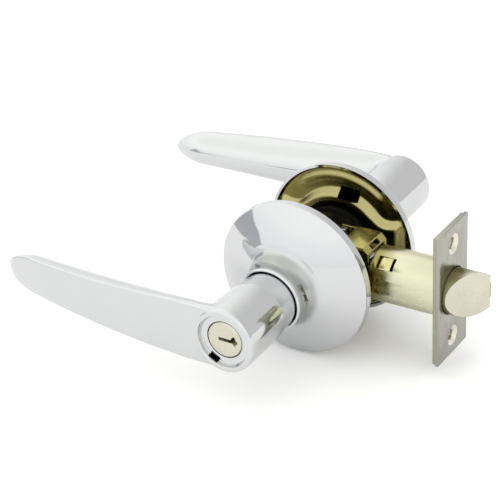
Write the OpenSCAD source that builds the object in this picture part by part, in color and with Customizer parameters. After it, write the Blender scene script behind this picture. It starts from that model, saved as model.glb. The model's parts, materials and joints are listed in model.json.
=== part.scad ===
// Keyed lever handle lockset for a bored door.
// The origin is on the spindle axis, level with the latch axis and midway through the door.
// +X points along the latch to the door edge, +Y to the inside of the room and +Z up.
// Parts that exist on both sides of the door are written for the inside and mirrored.

/* [Door] */
// Thickness of the door between the two roses
door_t = 35; // [35:1:40]
// Distance from the spindle axis to the outer face of the latch faceplate
backset = 60; // [60:1:70]

/* [Levers] */
// Reach of a lever from the spindle axis to its tip
lever_len = 110.6; // [95:0.1:120]
// Distance that a lever hub stands out from the door face
hub_reach = 57; // [56.5:0.1:60]
// Radius of the lever hub
hub_r = 13.3; // [13:0.1:14]
// Half of the blade's height where it leaves the hub
blade_h = 12.9; // [11.5:0.1:13]
// Loss of half height from the hub to the tip
blade_taper = 5.7; // [3:0.1:7]
// Thickness of the blade at the hub and at the tip
blade_t = 8.5; // [8:0.5:11]
// Extra thickness of the blade half way along
blade_belly = 5; // [0:0.1:6]
// Distance that the tip of the blade falls back towards the door
blade_fall = 10; // [6:0.5:14]

/* [Roses] */
// Outer radius of the roses
rose_r = 33; // [32:0.5:36]
// Width of the straight band round the rim of a rose
rose_band = 4; // [3.9:0.1:5]
// Outer radius of the neck that the lever turns in
neck_r = 13.65; // [13.4:0.05:14.5]
// Distance that the neck stands out from the door face
neck_reach = 22.6; // [22:0.1:23]
// Wall thickness of a rose
rose_wall = 1.1; // [0.8:0.1:1.4]

/* [Chassis] */
// Outer radius of the chassis drum
drum_r = 15.9; // [15.9:0.1:17]
// Outer radius of the spindle tube
spindle_r = 6; // [5.8:0.1:6]
// Radius at which the crank pin drives the retractor
crank_r = 12; // [12:0.1:12.3]

/* [Latch] */
// Height of the faceplate
plate_h = 57.15; // [55:0.05:60]
// Width of the faceplate
plate_w = 25.4; // [24:0.1:28]
// Thickness of the faceplate
plate_t = 1.5; // [1.2:0.1:2]
// Distance between the faceplate's screw holes
screw_pitch = 41.3; // [40:0.1:44]
// Radius of the faceplate's screw holes
screw_r = 2.3; // [2:0.1:2.5]
// Outer radius of the latch tube
tube_r = 11.35; // [11.35:0.05:12]
// Radius of the round latch bolt
bolt_r = 9.45; // [9.2:0.05:9.6]
// Distance that the latch bolt stands out of the faceplate
bolt_out = 13; // [11:0.5:13]

/* [Lock cylinder] */
// Radius of the key plug
plug_r = 6.3; // [6:0.1:6.4]
// Radius of the key plug's visible face
plug_face_r = 7.5; // [7.2:0.1:7.9]
// Number of pin stacks
pin_count = 5; // [3:1:5]

/* [Hidden] */

chrome = "#e4e5e8";
zinc_yellow = "#b9ad62";
zinc_pale = "#d9d6ad";
black_steel = "#1b1a19";
satin = "#b6b2ab";
nickel = "#d9d3c3";
brass = "#c9a95a";
steel = "#8e9094";
spring_steel = "#a5a7ab";

fine = 96;
round_fn = 48;
running_gap = 0.05;
seat_gap = 0.03;
eps = 0.01;

// Positions along the spindle, measured from the middle of the door
face_y = door_t / 2;
hub_front = face_y + hub_reach;
neck_y = face_y + neck_reach;
neck_bore = neck_r - 1.25;
shank_y = face_y + 18;
recess_depth = 2.2;
recess_floor = hub_front - recess_depth;
recess_r = 11;
front_wall = 2.3;
bore_end = recess_floor - front_wall;
lever_bore = 11;

// Drive sleeves and hubs
sleeve_r = 8.95;
sleeve_bore = spindle_r + running_gap;
sleeve_end = face_y + 32;
hub_bore = sleeve_r + running_gap;
hub_tube_r = 10.6;
hub_end = face_y + 16;
flange_back = 8.5;
flange_front = 9.9;
hub_back = flange_back - 0.1;
hub_step = flange_front + 0.1;
insert_end = face_y + 34;
drum_end = face_y - 2;
drum_bore = drum_r - 1;
catch_y = face_y + 29;
catch_r = 1.5;

// Clutch between the outside sleeve and the spindle
slot_w = 3.1;
spindle_out = face_y + 14;
clutch_t = 3;
clutch_y = spindle_out - clutch_t;
seat_y = face_y + 27;

// Frame and retractor
frame_in = 6.3;
frame_out = 7.8;
frame_h = 13.5;
frame_end = 26.8;
window_y = 8.2;
window_z = 14.2;
cheek_in = 3;
cheek_out = 5.7;
cheek_h = 8.8;
cheek_left = -9;
hook_x = 23.5;
retract = 12;
crank_angle = 30;
pin_r = 1.75;
pin_gap = 0.3;
crank_x = crank_r * sin(crank_angle);
crank_z = crank_r * cos(crank_angle);

// Latch
tube_x = 27.5;
tube_bore = tube_r - 0.8;
backing_t = 1.2;
backing_x = backset - plate_t - 0.1 - backing_t;
tube_end = backset - plate_t - 0.1;
plate_hole = bolt_r + 0.45;
bolt_tip = backset + bolt_out;
bolt_back = tube_x + 5.5 + retract;
bolt_flat = 6.3;
pocket_r = 6;
pocket_end = backset - 0.5;
guide_x = tube_x + 2;
guide_t = 3;
tail_t = 1.2;
tail_h = 3.2;
plunger_back = backset - 4;

// Lock cylinder
shell_r = lever_bore - 0.05;
shell_back = bore_end - 18.5;
plug_back = shell_back - 0.3;
pin_pitch = 3.4;
first_pin = bore_end - 3;
pin_stack_r = 1.25;
chamber_r = 1.3;
keyway_top = -2.6;
keyway_bottom = 5.7;
keyway_w = 1.4;
bar_w = 4;
bar_t = 1.2;

// ---- Shared shapes -------------------------------------------------------

// A solid of revolution about the Y axis, from [radius, y] points.
module turned(points) {
  rotate([-90, 0, 0])
    rotate_extrude($fn = fine)
      polygon(points);
}

module tube_y(r_in, r_out, y0, y1) {
  turned([[r_in, y0], [r_out, y0], [r_out, y1], [r_in, y1]]);
}

module rod_y(r, y0, y1, fn = fine) {
  translate([0, y0, 0])
    rotate([-90, 0, 0])
      cylinder(h = y1 - y0, r = r, $fn = fn);
}

module rod_x(r, x0, x1, fn = fine) {
  translate([x0, 0, 0])
    rotate([0, 90, 0])
      cylinder(h = x1 - x0, r = r, $fn = fn);
}

module rod_z(r, z0, z1, fn = round_fn) {
  translate([0, 0, z0])
    cylinder(h = z1 - z0, r = r, $fn = fn);
}

module block(x0, x1, y0, y1, z0, z1) {
  translate([x0, y0, z0])
    cube([x1 - x0, y1 - y0, z1 - z0]);
}

// A flat plate in the XZ plane, from [x, z] shapes, between two Y values.
module sheet_y(y0, y1) {
  translate([0, y1, 0])
    rotate([90, 0, 0])
      linear_extrude(height = y1 - y0)
        children();
}

module outside() {
  mirror([0, 1, 0])
    children();
}

// A coil along Z from 0 to len, of round wire.
module coil(r, wire, turns, len, steps = 12, sides = 6) {
  rings = turns * steps;
  rise = (len - 2 * wire) / rings;
  tilt = atan2(rise * steps, 360 * r * PI / 180);
  points = [
    for (i = [0 : rings], j = [0 : sides - 1])
      let (a = i * 360 / steps)
      let (b = j * 360 / sides)
      let (u = wire * cos(b))
      let (v = wire * sin(b))
      [
        (r + u) * cos(a) + v * sin(tilt) * sin(a),
        (r + u) * sin(a) - v * sin(tilt) * cos(a),
        wire + i * rise + v * cos(tilt)
      ]
  ];
  walls = [
    for (i = [0 : rings - 1], j = [0 : sides - 1], k = [0, 1])
      let (n = (j + 1) % sides)
      k == 0
        ? [i * sides + j, (i + 1) * sides + j, i * sides + n]
        : [i * sides + n, (i + 1) * sides + j, (i + 1) * sides + n]
  ];
  start_cap = [for (j = [0 : sides - 1]) j];
  end_cap = [for (j = [sides - 1 : -1 : 0]) rings * sides + j];
  polyhedron(points = points, faces = concat(walls, [start_cap, end_cap]), convexity = 8);
}

module coil_y(r, wire, turns, y0, y1) {
  translate([0, y0, 0])
    rotate([-90, 0, 0])
      coil(r, wire, turns, y1 - y0);
}

module coil_x(r, wire, turns, x0, x1) {
  translate([x0, 0, 0])
    rotate([0, 90, 0])
      coil(r, wire, turns, x1 - x0);
}

// ---- Lever ---------------------------------------------------------------

blade_root = -0.04;
blade_stations = 26;
blade_front_steps = 8;
blade_back_steps = 16;
blade_ring = blade_front_steps + blade_back_steps;
tip_start = 0.86;
tip_end = 0.998;
crown = 0.6;

function station(i) = blade_root + (tip_end - blade_root) * (1 - pow(1 - i / blade_stations, 1.7));
function tip_round(s) = s < tip_start ? 1 : sqrt(1 - pow((s - tip_start) / (1 - tip_start), 2));
function soft_min(a, b) = (a + b - sqrt(pow(a - b, 2) + 0.25)) / 2;
function blade_side(s) = blade_h + 1.2 - (blade_taper + 1.2) * (1.29 * s - 0.29 * s * s);
function blade_half(s) = soft_min(blade_h, blade_side(s)) * tip_round(s);
function blade_deep(s) = (blade_t + 4 * blade_belly * s * (1 - s)) * tip_round(s);
function blade_face(s) = hub_front - crown - 0.1 - blade_fall * (0.1 * s * s + 0.9 * pow(s, 3));
function blade_mid(s) = blade_face(s) - blade_t / 4 * (1 - tip_round(s));

// A point of the blade's section: the crowned front first, then the round back.
function blade_point(s, j) =
  let (h = blade_half(s))
  let (front = j < blade_front_steps)
  let (t = front ? j / blade_front_steps : (j - blade_front_steps) / blade_back_steps)
  let (z = front ? h * (2 * t - 1) : h * cos(180 * t))
  let (rise = crown * tip_round(s) * (1 - pow(2 * t - 1, 2)))
  let (y = blade_mid(s) + (front ? rise : -blade_deep(s) * sin(180 * t)))
  [-lever_len * s, y, z];

module blade() {
  points = [
    for (i = [0 : blade_stations], j = [0 : blade_ring - 1])
      blade_point(station(i), j)
  ];
  walls = [
    for (i = [0 : blade_stations - 1], j = [0 : blade_ring - 1], k = [0, 1])
      let (n = (j + 1) % blade_ring)
      k == 0
        ? [i * blade_ring + j, i * blade_ring + n, (i + 1) * blade_ring + j]
        : [i * blade_ring + n, (i + 1) * blade_ring + n, (i + 1) * blade_ring + j]
  ];
  root_cap = [for (j = [blade_ring - 1 : -1 : 0]) j];
  tip_cap = [for (j = [0 : blade_ring - 1]) blade_stations * blade_ring + j];
  polyhedron(points = points, faces = concat(walls, [root_cap, tip_cap]), convexity = 4);
}

module lever_hub() {
  turned([
    [0, shank_y],
    [neck_bore - 0.35, shank_y],
    [neck_bore - 0.35, neck_y + 0.5],
    [hub_r - 0.9, neck_y + 5],
    [hub_r - 0.3, neck_y + 12],
    [hub_r, neck_y + 20],
    [hub_r + 0.1, hub_front - 4],
    [hub_r - 0.1, hub_front - 1.4],
    [hub_r - 0.6, hub_front - 0.4],
    [hub_r - 1.4, hub_front],
    [0, hub_front]
  ]);
}

// A lever, hollow from its neck up to a front wall with a hole of the given radius.
module lever(hole_r) {
  difference() {
    union() {
      lever_hub();
      blade();
    }
    turned([[0, recess_floor], [recess_r - 0.8, recess_floor], [recess_r, hub_front + 1], [0, hub_front + 1]]);
    rod_y(lever_bore, shank_y - 1, bore_end);
    rod_y(hole_r, bore_end - 1, hub_front);
    translate([0, catch_y, 0])
      rod_z(catch_r + 0.2, -hub_r - 2, -lever_bore + 1);
  }
}

clip_half = 2.5;
clip_angle = 241;
clip_radius = 9.05;

module outside_lever() {
  color(chrome)
    outside()
      difference() {
        lever(plug_face_r + 0.12);
        rotate([0, -clip_angle, 0])
          block(clip_radius - 1.6, clip_radius + 1.2, bore_end - 1, hub_front - 0.3, -clip_half, clip_half);
      }
}

module inside_lever() {
  color(chrome)
    lever(bush_r + seat_gap);
}

module lever_insert() {
  color(zinc_pale)
    difference() {
      tube_y(sleeve_r + seat_gap, lever_bore - seat_gap, shank_y + 0.2, insert_end);
      translate([0, catch_y, 0])
        rod_z(catch_r + 0.1, -lever_bore - 1, -sleeve_r + 1);
    }
}

module outside_lever_insert() {
  outside()
    lever_insert();
}

module inside_lever_insert() {
  lever_insert();
}

module lever_catch() {
  color(steel)
    translate([0, catch_y, 0])
      rod_z(catch_r, -hub_r + 0.2, -spindle_r - 2);
}

module outside_lever_catch() {
  outside()
    lever_catch();
}

module inside_lever_catch() {
  lever_catch();
}

// ---- Drive sleeves, hubs, plates and roses -------------------------------

module sleeve(bore) {
  difference() {
    turned([
      [bore, flange_back],
      [hub_tube_r, flange_back],
      [hub_tube_r, flange_front],
      [sleeve_r, flange_front],
      [sleeve_r, sleeve_end],
      [bore, sleeve_end]
    ]);
    translate([0, catch_y, 0])
      rod_z(catch_r + 0.1, -sleeve_r - 1, -bore + 1);
  }
}

module outside_sleeve() {
  color(steel)
    outside()
      difference() {
        sleeve(sleeve_bore);
        block(-slot_w / 2, slot_w / 2, clutch_y - 1.5, clutch_y + 7.5, -sleeve_r - 1, sleeve_r + 1);
      }
}

module inside_sleeve() {
  color(steel)
    sleeve(spindle_r + 0.02);
}

// A washer on the sleeve, with one finger that winds the return spring.
module spring_driver() {
  driver_r = neck_bore - 0.5;
  washer_y = hub_end + 0.3;
  finger_len = 3.8;
  finger_half = 2.5;
  color(zinc_yellow)
    union() {
      tube_y(sleeve_r + seat_gap, driver_r, washer_y, washer_y + 1.2);
      intersection() {
        tube_y(hub_tube_r + 0.4, driver_r, washer_y - finger_len, washer_y + 0.1);
        block(-finger_half, finger_half, 0, hub_end + 2, 0, neck_r);
      }
    }
}

module outside_spring_driver() {
  outside()
    spring_driver();
}

module inside_spring_driver() {
  spring_driver();
}

module return_spring() {
  wire = 0.6;
  turns = 5;
  color(spring_steel)
    coil_y(hub_tube_r + 1, wire, turns, face_y + 3.5, face_y + 11);
}

module outside_return_spring() {
  outside()
    return_spring();
}

module inside_return_spring() {
  return_spring();
}

mount_screw_z = 13.2;
mount_screw_r = 1.4;

module chassis_hub() {
  turned([
    [hub_bore, hub_step],
    [hub_tube_r + 0.2, hub_step],
    [hub_tube_r + 0.2, hub_back],
    [drum_bore - 0.1, hub_back],
    [drum_bore - 0.1, drum_end - 0.1],
    [hub_tube_r, drum_end - 0.1],
    [hub_tube_r, hub_end],
    [hub_bore, hub_end]
  ]);
}

module outside_hub() {
  color(steel)
    outside()
      chassis_hub();
}

module inside_hub() {
  color(steel)
    difference() {
      chassis_hub();
      for (side = [-1, 1])
        translate([0, 0, side * mount_screw_z])
          rod_y(mount_screw_r + 0.05, hub_back - 1, drum_end + 1, round_fn);
    }
}

module retaining_ring() {
  ring_y = face_y + 1.6;
  ring_r = hub_tube_r + 2.9;
  gap_half = 2;
  color(steel)
    difference() {
      tube_y(hub_tube_r + seat_gap, ring_r, ring_y, ring_y + 1);
      block(hub_tube_r - 2, ring_r + 1, ring_y - 1, ring_y + 2, -gap_half, gap_half);
    }
}

module outside_retaining_ring() {
  outside()
    retaining_ring();
}

module inside_retaining_ring() {
  retaining_ring();
}

plate_base = face_y + 1.55;
plate_top = face_y - 1.8;
plate_r = rose_r - rose_wall - 0.9;
sheet = 1.2;
boss_top_r = 19.5;
boss_foot_r = 22.5;
arm_foot_x = 28.2;
arm_top_x = 25.4;
arm_foot_z = 14;
arm_top_z = 11.5;
press = 0.5;

// The pressed shape of a rose plate: a boss, two arms and a curved rib raised towards the door.
module plate_form(shift) {
  low = plate_base + shift;
  high = plate_top + shift;
  inset = shift * press;
  turned([
    [0, high], [boss_top_r - inset, high], [boss_foot_r - inset, low],
    [boss_foot_r, low + eps], [0, low + eps]
  ]);
  intersection() {
    translate([-arm_foot_x, 0, 0])
      rotate([90, 0, 90])
        linear_extrude(height = 2 * arm_foot_x)
          polygon([
            [low + eps, inset - arm_foot_z], [low, inset - arm_foot_z], [high, inset - arm_top_z],
            [high, arm_top_z - inset], [low, arm_foot_z - inset], [low + eps, arm_foot_z - inset]
          ]);
    translate([0, 0, -arm_foot_z - 2])
      linear_extrude(height = 2 * arm_foot_z + 4)
        polygon([
          [inset - arm_foot_x, low + eps], [inset - arm_top_x, high],
          [arm_top_x - inset, high], [arm_foot_x - inset, low + eps]
        ]);
  }
}

rib_r = 27.5;
rib_half_angle = 42;
rib_rise = 1.6;
rib_foot = 1.9;
rib_crest = 0.8;

module plate_rib(shift) {
  rotate([-90, 0, 0])
    rotate([0, 0, 270 - rib_half_angle])
      rotate_extrude(angle = 2 * rib_half_angle, $fn = fine)
        polygon([
          [rib_r - rib_foot + shift * 0.4, plate_base + shift + eps],
          [rib_r - rib_crest, plate_base - rib_rise + shift],
          [rib_r + rib_crest, plate_base - rib_rise + shift],
          [rib_r + rib_foot - shift * 0.4, plate_base + shift + eps]
        ]);
}

module pressed_plate() {
  difference() {
    union() {
      rod_y(plate_r, plate_base, plate_base + sheet);
      plate_form(0);
      plate_rib(0);
    }
    plate_form(sheet);
    plate_rib(sheet);
    rod_y(hub_tube_r + 0.1, plate_top - 1, plate_base + sheet + 1);
  }
}

module outside_rose_plate() {
  color(zinc_yellow)
    outside()
      pressed_plate();
}

plate_slot_len = 9;
plate_slot_low = 18.6;
plate_slot_high = 23.6;

module mounting_plate() {
  color(zinc_yellow)
    difference() {
      pressed_plate();
      block(0, plate_slot_len, plate_top - 1, plate_base + 3, plate_slot_low, plate_slot_high);
      for (side = [-1, 1])
        translate([0, 0, side * mount_screw_z])
          rod_y(mount_screw_r + 0.05, plate_top - 1, plate_base + 3, round_fn);
    }
}

module mounting_screws() {
  head_y = plate_top + sheet;
  head_r = 2.2;
  head_end = head_y + 1.8;
  cross_y = head_y + 0.9;
  cross = 0.4;
  color(steel)
    for (side = [-1, 1])
      translate([0, 0, side * mount_screw_z])
        difference() {
          union() {
            rod_y(mount_screw_r, hub_back + 0.6, head_y, round_fn);
            rod_y(head_r, head_y, head_end, round_fn);
          }
          block(-cross, cross, cross_y, head_end + 1, -head_r - 1, head_r + 1);
          block(-head_r - 1, head_r + 1, cross_y, head_end + 1, -cross, cross);
        }
}

neck_base_r = 17.8;
neck_base = face_y + 11.7;
neck_lip = neck_y - 2.4;
neck_steps = 8;
lip_steps = 4;

module rose() {
  band_top = face_y + rose_band;
  neck_curve = [
    for (i = [0 : neck_steps])
      let (t = 90 * i / neck_steps)
      [neck_r + (neck_base_r - neck_r) * (1 - sin(t)), neck_base + (neck_lip - neck_base) * (1 - cos(t))]
  ];
  lip_curve = [
    for (i = [1 : lip_steps])
      let (t = 90 * i / lip_steps)
      [neck_r - 0.8 * (1 - cos(t)), neck_lip + 2.4 * sin(t)]
  ];
  outer = concat([[rose_r, face_y], [rose_r, band_top - 0.5], [rose_r - 0.5, band_top]], neck_curve, lip_curve);
  inner = [
    [neck_bore, neck_y],
    [neck_bore, neck_base + 1],
    [neck_base_r - 0.8, neck_base - 1.2],
    [rose_r - rose_wall - 0.4, band_top - 1.2],
    [rose_r - rose_wall, band_top - 1.6],
    [rose_r - rose_wall, face_y]
  ];
  color(chrome)
    turned(concat(outer, inner));
}

module outside_rose() {
  outside()
    rose();
}

module inside_rose() {
  rose();
}

// ---- Lock cylinder -------------------------------------------------------

driver_top = 8.6;
bottom_pin_end = 1.8;

module at_pins() {
  for (i = [0 : pin_count - 1])
    translate([0, first_pin - i * pin_pitch, 0])
      children();
}

module cylinder_shell() {
  color(brass)
    outside()
      difference() {
        tube_y(plug_r + running_gap, shell_r, shell_back, bore_end - 0.05);
        at_pins()
          rod_x(chamber_r, -shell_r - 1, -plug_r + 1, round_fn);
      }
}

module driver_pins() {
  color(brass)
    outside()
      at_pins()
        rod_x(pin_stack_r, -driver_top, -plug_r - 0.15, round_fn);
}

module driver_springs() {
  color(spring_steel)
    outside()
      at_pins()
        coil_x(0.9, 0.2, 4, -shell_r + 0.1, -driver_top - 0.02);
}

leaf_half = clip_half - 0.2;

module cylinder_clip() {
  color(spring_steel)
    outside()
      rotate([0, -clip_angle, 0])
        block(clip_radius - 0.3, clip_radius + 0.3, bore_end + 0.05, recess_floor - 0.3, -leaf_half, leaf_half);
}

plug_stub_r = 4.5;
plug_stub_end = plug_back - 3.3;
plug_slot_end = plug_back - 1.8;
plug_face_y = recess_floor + 0.3;

// The widening at the low end of the keyway, which makes it arrow-shaped.
module keyway_head() {
  tip = keyway_bottom - 0.5;
  reach = 2.2;
  polygon([
    [tip - 2.6, 0.5], [tip - 1.6, reach], [tip - 0.6, reach], [tip, 0.5],
    [tip - 0.4, 0.6 - reach], [tip - 1.2, 0.6 - reach], [tip - 1.6, -0.5]
  ]);
}

module key_plug() {
  color(nickel)
    outside()
      difference() {
        turned([
          [0, plug_stub_end],
          [plug_stub_r, plug_stub_end],
          [plug_stub_r, plug_back],
          [plug_r, plug_back],
          [plug_r, bore_end],
          [plug_face_r, bore_end],
          [plug_face_r, plug_face_y - 0.4],
          [plug_face_r - 0.4, plug_face_y],
          [0, plug_face_y]
        ]);
        block(keyway_top, keyway_bottom, plug_back + 0.5, hub_front, -keyway_w / 2, keyway_w / 2);
        sheet_y(plug_back + 0.5, hub_front)
          keyway_head();
        at_pins()
          rod_x(chamber_r, -plug_r - 1, -bottom_pin_end + 0.3, round_fn);
        block(-bar_t / 2 - 0.05, bar_t / 2 + 0.05, plug_stub_end - 1, plug_slot_end, -bar_w / 2, bar_w / 2);
      }
}

module bottom_pins() {
  color(brass)
    outside()
      at_pins()
        rod_x(pin_stack_r, -plug_r + 0.2, -bottom_pin_end, round_fn);
}

module plug_clip() {
  color(steel)
    outside()
      difference() {
        tube_y(plug_stub_r + seat_gap, plug_face_r, plug_back - 1.4, plug_back - 0.1);
        block(plug_stub_r - 3, plug_face_r + 1, plug_back - 3, plug_back + 1, -1.6, 1.6);
      }
}

module tailpiece() {
  color(steel)
    outside()
      block(-bar_t / 2, bar_t / 2, spindle_out + 4.2, plug_slot_end, -bar_w / 2 + 0.05, bar_w / 2 - 0.05);
}

clutch_half = 8.3;

module clutch_bar() {
  color(steel)
    outside()
      block(-slot_w / 2 + 0.05, slot_w / 2 - 0.05, clutch_y, clutch_y + clutch_t, -clutch_half, clutch_half);
}

module clutch_spring() {
  coil_r = 4.9;
  wire = 0.35;
  turns = 7;
  color(spring_steel)
    outside()
      coil_y(coil_r, wire, turns, clutch_y + clutch_t + 0.02, seat_y);
}

module spring_seat() {
  color(steel)
    outside()
      tube_y(2.5, sleeve_bore - seat_gap, seat_y, seat_y + 1);
}

// ---- Chassis -------------------------------------------------------------

module drum() {
  step_r = drum_r - 0.6;
  groove_start = drum_end - 4;
  groove_end = drum_end - 2.6;
  half_profile = [
    [drum_bore, 0],
    [drum_r, 0],
    [drum_r, groove_start],
    [step_r, groove_start],
    [step_r, groove_end],
    [drum_r, groove_end],
    [drum_r, drum_end - 0.4],
    [drum_r - 0.4, drum_end],
    [drum_bore, drum_end]
  ];
  color(black_steel)
    difference() {
      union() {
        turned(half_profile);
        outside()
          turned(half_profile);
      }
      block(-drum_r - 1, drum_r + 1, -window_y, window_y, -window_z, window_z);
    }
}

prong_h = 5.8;
prong_r = 7.05;
frame_front = 24.5;
frame_back = -15;
frame_step = 11;
tail_z = -9.3;

// A side plate of the frame, with a prong that reaches into the latch tube.
module frame_plate_outline() {
  difference() {
    union() {
      circle(r = drum_bore - 0.3, $fn = fine);
      polygon([
        [frame_back, -frame_h], [frame_front, -frame_h], [frame_end, -frame_step], [frame_end, -prong_h],
        [guide_x + guide_t, -prong_h], [guide_x + guide_t, prong_h], [frame_end, prong_h],
        [frame_end, frame_step], [frame_front, frame_h], [0, frame_h], [0, tail_z], [frame_back, tail_z]
      ]);
    }
    circle(r = spindle_r + running_gap, $fn = fine);
    translate([19, 6.8])
      square([5.2, 5]);
  }
}

nose_t = 0.85;
nose_hole_len = 2.4;
nose_hole_half = 3.5;

// The sloping sheet at the front of the frame, with a rectangular hole.
module frame_nose() {
  rise = frame_h - frame_step;
  run = frame_end - frame_front;
  difference() {
    sheet_y(-frame_in - 0.5, frame_in + 0.5)
      polygon([
        [frame_front, frame_h], [frame_end, frame_step],
        [frame_end - nose_t, frame_step - nose_t], [frame_front - nose_t, frame_h - nose_t]
      ]);
    sheet_y(-nose_hole_half, nose_hole_half)
      translate([frame_front + run / 2, frame_step + rise / 2])
        rotate(-atan2(rise, run))
          square([nose_hole_len, 4], center = true);
  }
}

module chassis_frame() {
  color(zinc_yellow)
    union() {
      sheet_y(frame_in, frame_out)
        frame_plate_outline();
      sheet_y(-frame_out, -frame_in)
        frame_plate_outline();
      frame_nose();
      mirror([0, 0, 1])
        frame_nose();
      for (low = [-frame_h, frame_h - sheet])
        block(14, frame_front, -frame_in - 0.5, frame_in + 0.5, low, low + sheet);
      block(frame_back, frame_back + 1.4, -frame_in - 0.5, frame_in + 0.5, -frame_h, tail_z);
    }
}

lug_x = 10;
lug_t = 3;
fork_half = 4.4;

// The retractor's side view: a bar slotted for the spindle, with a fork for the crank pin.
module cheek_outline() {
  fork = pin_r + pin_gap;
  slot = spindle_r + 0.4;
  difference() {
    union() {
      translate([cheek_left, -cheek_h])
        square([frame_end - cheek_left, 2 * cheek_h]);
      translate([crank_x - fork_half, 0])
        square([2 * fork_half, frame_h - 0.3]);
      translate([lug_x, -frame_h + 0.5])
        square([lug_t, frame_h]);
    }
    hull_slot(slot, retract + 0.2);
    translate([crank_x - fork, slot + 1.5])
      square([2 * fork, frame_h]);
  }
}

module hull_slot(r, len) {
  circle(r = r, $fn = fine);
  translate([len, 0])
    circle(r = r, $fn = fine);
  translate([0, -r])
    square([len, 2 * r]);
}

module retractor() {
  color(steel)
    difference() {
      union() {
        for (y = [-cheek_out, cheek_in])
          sheet_y(y, y + cheek_out - cheek_in)
            cheek_outline();
        block(hook_x, frame_end, -cheek_in - 0.5, cheek_in + 0.5, -cheek_h, cheek_h);
        block(lug_x, lug_x + lug_t, -cheek_in - 0.5, cheek_in + 0.5, -frame_h + 0.5, -cheek_h - 0.1);
      }
      block(hook_x - 1, frame_end + 1, -tail_t - 0.3, tail_t + 0.3, -tail_h - 0.4, tail_h + 0.4);
    }
}

module retractor_spring() {
  coil_r = 1.5;
  wire = 0.3;
  turns = 12;
  color(spring_steel)
    translate([0, 0, -11.1])
      coil_x(coil_r, wire, turns, frame_back + 1.5, lug_x - 0.05);
}

spindle_bore = 3.6;

module spindle() {
  color(steel)
    difference() {
      tube_y(spindle_bore, spindle_r, -spindle_out, insert_end);
      block(-slot_w / 2, slot_w / 2, -spindle_out - 1, -clutch_y + 0.5, -spindle_r - 1, spindle_r + 1);
    }
}

cam_hub_r = 8.2;
cam_half = 2.6;
cam_boss_r = 2.5;
cam_arm_w = 4;

// The cam's side view: a ring with one arm that carries the crank pin.
module cam_outline() {
  difference() {
    union() {
      circle(r = cam_hub_r, $fn = fine);
      rotate([0, 0, -crank_angle])
        translate([-cam_arm_w / 2, spindle_r + 1])
          square([cam_arm_w, crank_r - spindle_r - 1]);
      translate([crank_x, crank_z])
        circle(r = cam_boss_r, $fn = fine);
    }
    circle(r = spindle_r + 0.02, $fn = fine);
  }
}

module drive_cam() {
  color(zinc_pale)
    union() {
      sheet_y(-cam_half, cam_half)
        cam_outline();
      for (y = [-cheek_out, cam_half - eps])
        translate([crank_x, 0, crank_z])
          rod_y(pin_r, y, y + cheek_out - cam_half + eps, round_fn);
    }
}

// ---- Latch ---------------------------------------------------------------

window_angle = 38;
window_start = tube_x + 3;
window_len = 7.4;
window_half = 2.8;
tab_half = window_half + 0.4;
tab_r = tube_bore - 0.5;
tab_start = window_start + 1.5;
tab_end = window_start + window_len - 1.5;
slot_len = 5.2;
slot_half = 3.6;
curl = 0.6;
curl_len = 1.3;

// The tube, curled in at its inner end, with a sunk bridge in its window and a slot on each side.
module latch_tube() {
  color(zinc_pale)
    difference() {
      union() {
        difference() {
          rotate([0, 90, 0])
            rotate_extrude($fn = fine)
              polygon([
                [tube_bore - curl, tube_x], [tube_r - 1.5 * curl, tube_x],
                [tube_r - 0.4 * curl, tube_x + 0.35 * curl_len], [tube_r, tube_x + curl_len],
                [tube_r, tube_end], [tube_bore, tube_end],
                [tube_bore, tube_x + curl_len], [tube_bore - curl, tube_x + 0.5 * curl_len]
              ]);
          rotate([window_angle, 0, 0])
            block(window_start, window_start + window_len, -window_half, window_half, tube_bore - 3, tube_r + 3);
        }
        intersection() {
          rotate([0, 90, 0])
            rotate_extrude($fn = fine)
              polygon([
                [tab_r, tab_start], [tube_bore + 0.2, tab_start],
                [tube_bore + 0.2, tab_end], [tab_r, tab_end]
              ]);
          rotate([window_angle, 0, 0])
            block(tab_start - 1, tab_end + 1, -tab_half, tab_half, 0, tube_r + 3);
        }
      }
      block(tube_x - 1, tube_x + slot_len, -tube_r - 1, tube_r + 1, -slot_half, slot_half);
    }
}

module tube_guide() {
  color(zinc_yellow)
    difference() {
      rod_x(tube_bore - 0.05, guide_x, guide_x + guide_t);
      for (side = [-1, 1])
        translate([0, side * prong_r, 0])
          block(guide_x - 1, guide_x + 4, -0.85, 0.85, -prong_h - 0.1, prong_h + 0.1);
      block(guide_x - 1, guide_x + 4, -tail_t - 0.3, tail_t + 0.3, -tail_h - 0.4, tail_h + 0.4);
      rotate([window_angle, 0, 0])
        block(guide_x - 1, guide_x + 4, -tab_half - 0.3, tab_half + 0.3, tab_r - 0.8, tube_bore + 1);
    }
}

module plate_blank(x0, x1, trim, bore) {
  difference() {
    block(x0, x1, -plate_w / 2 + trim, plate_w / 2 - trim, -plate_h / 2 + trim, plate_h / 2 - trim);
    rod_x(bore, x0 - 1, x1 + 1);
    for (side = [-1, 1])
      translate([0, 0, side * screw_pitch / 2])
        rod_x(screw_r, x0 - 1, x1 + 1, round_fn);
  }
}

module backing_plate() {
  color(zinc_pale)
    plate_blank(backing_x, backing_x + backing_t, 0.5, tube_r + running_gap);
}

module faceplate() {
  sink = 1;
  sink_r = screw_r + 1.9;
  color(satin)
    difference() {
      plate_blank(backset - plate_t, backset, 0, plate_hole);
      for (side = [-1, 1])
        translate([backset - sink, 0, side * screw_pitch / 2])
          rotate([0, 90, 0])
            cylinder(h = sink + eps, r1 = screw_r, r2 = sink_r, $fn = round_fn);
    }
}

bevel_x = bolt_tip - 11.6;
bevel_angle = 52.6;

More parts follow.
